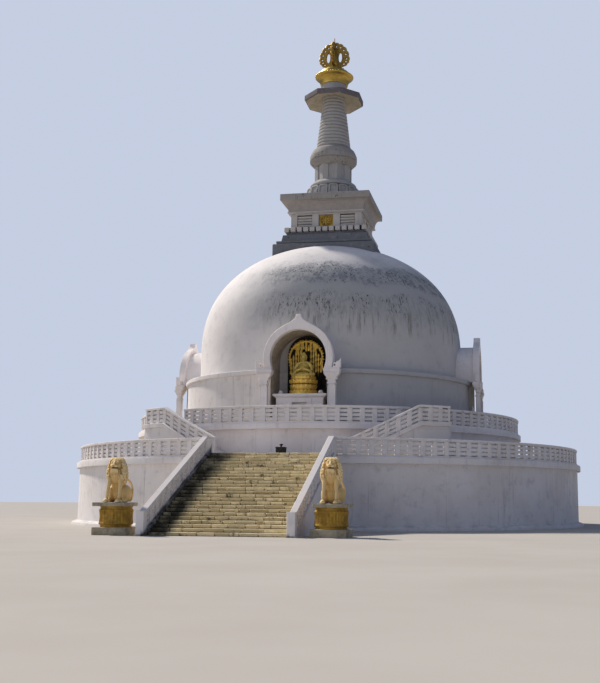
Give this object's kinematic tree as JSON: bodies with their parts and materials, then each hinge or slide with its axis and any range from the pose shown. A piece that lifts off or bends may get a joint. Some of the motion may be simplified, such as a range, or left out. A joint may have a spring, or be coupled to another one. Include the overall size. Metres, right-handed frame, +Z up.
{
  "type": "white domed stupa, 1:2 scale model",
  "caption": "Whitewashed domed stupa on two round parapeted terraces, with a broad main stair, curved side flights, arched image niches, guardian lions and a ringed spire.",
  "frame": {"origin": "centre of the round ground face, on the axis of the dome", "axes": "+Z up; -Y is the front, where the main stair comes down; +X is to the right of someone who looks at the front"},
  "size_m": [18.45, 23.162, 19.25],
  "materials": {
    "plaster": "whitewashed cement plaster, matte and lightly weathered",
    "dome_plaster": "whitewashed plaster with black algae streaks on its upper part",
    "weathered_plaster": "whitewash worn grey with dark stains",
    "stair_stone": "brown sandstone blocks with dark stains",
    "paving": "dull stone paving",
    "gilt": "bright gilding",
    "dark_gilt": "darkened gilding",
    "cream_paint": "cream paint on cast stone, worn",
    "ochre_paint": "ochre paint on cast stone",
    "grey_slab": "grey-ochre stone, stained",
    "black_iron": "sooty black iron"
  },
  "bodies": {
    "root": {"lower_plinth": "plaster", "lower_drum": "plaster", "lower_cornice": "plaster", "lower_floor": "paving", "upper_drum": "plaster", "upper_cornice": "plaster", "upper_floor": "paving", "lower_parapet_right_1": "plaster", "lower_parapet_right_2": "plaster", "lower_parapet_right_3": "plaster", "lower_parapet_left_1": "plaster", "lower_parapet_left_2": "plaster", "lower_parapet_left_3": "plaster", "lower_parapet_back": "plaster", "upper_parapet_front": "plaster", "upper_parapet_right_1": "plaster", "upper_parapet_right_2": "plaster", "upper_parapet_left_1": "plaster", "upper_parapet_left_2": "plaster", "main_stair_flight": "stair_stone", "main_stair_balustrade_right": "plaster", "main_stair_balustrade_left": "plaster", "side_flight_right": "plaster", "side_flight_left": "plaster", "side_flight_parapet_right": "plaster", "side_flight_parapet_left": "plaster", "dome_drum": "plaster", "dome_ring": "plaster", "dome": "dome_plaster", "niche_porch_front": "plaster", "niche_porch_right": "plaster", "niche_porch_back": "plaster", "niche_porch_left": "plaster", "altar_front": "plaster", "altar_right": "plaster", "altar_back": "plaster", "altar_left": "plaster", "gilt_image_front": "gilt", "gilt_image_right": "gilt", "gilt_image_back": "gilt", "gilt_image_left": "gilt", "harmika_base": "weathered_plaster", "harmika_box": "plaster", "harmika_cornice": "weathered_plaster", "spire_lotus": "plaster", "spire_drum": "plaster", "spire_collar": "plaster", "spire_rings": "plaster", "spire_canopy": "weathered_plaster", "spire_bowl": "gilt", "spire_jewel": "dark_gilt", "lion_pedestal_right": "ochre_paint", "lion_pedestal_left": "ochre_paint", "lion_slab_right": "grey_slab", "lion_slab_left": "grey_slab", "lion_right": "cream_paint", "lion_left": "cream_paint", "incense_burner": "black_iron"}
  },
  "joints": []
}
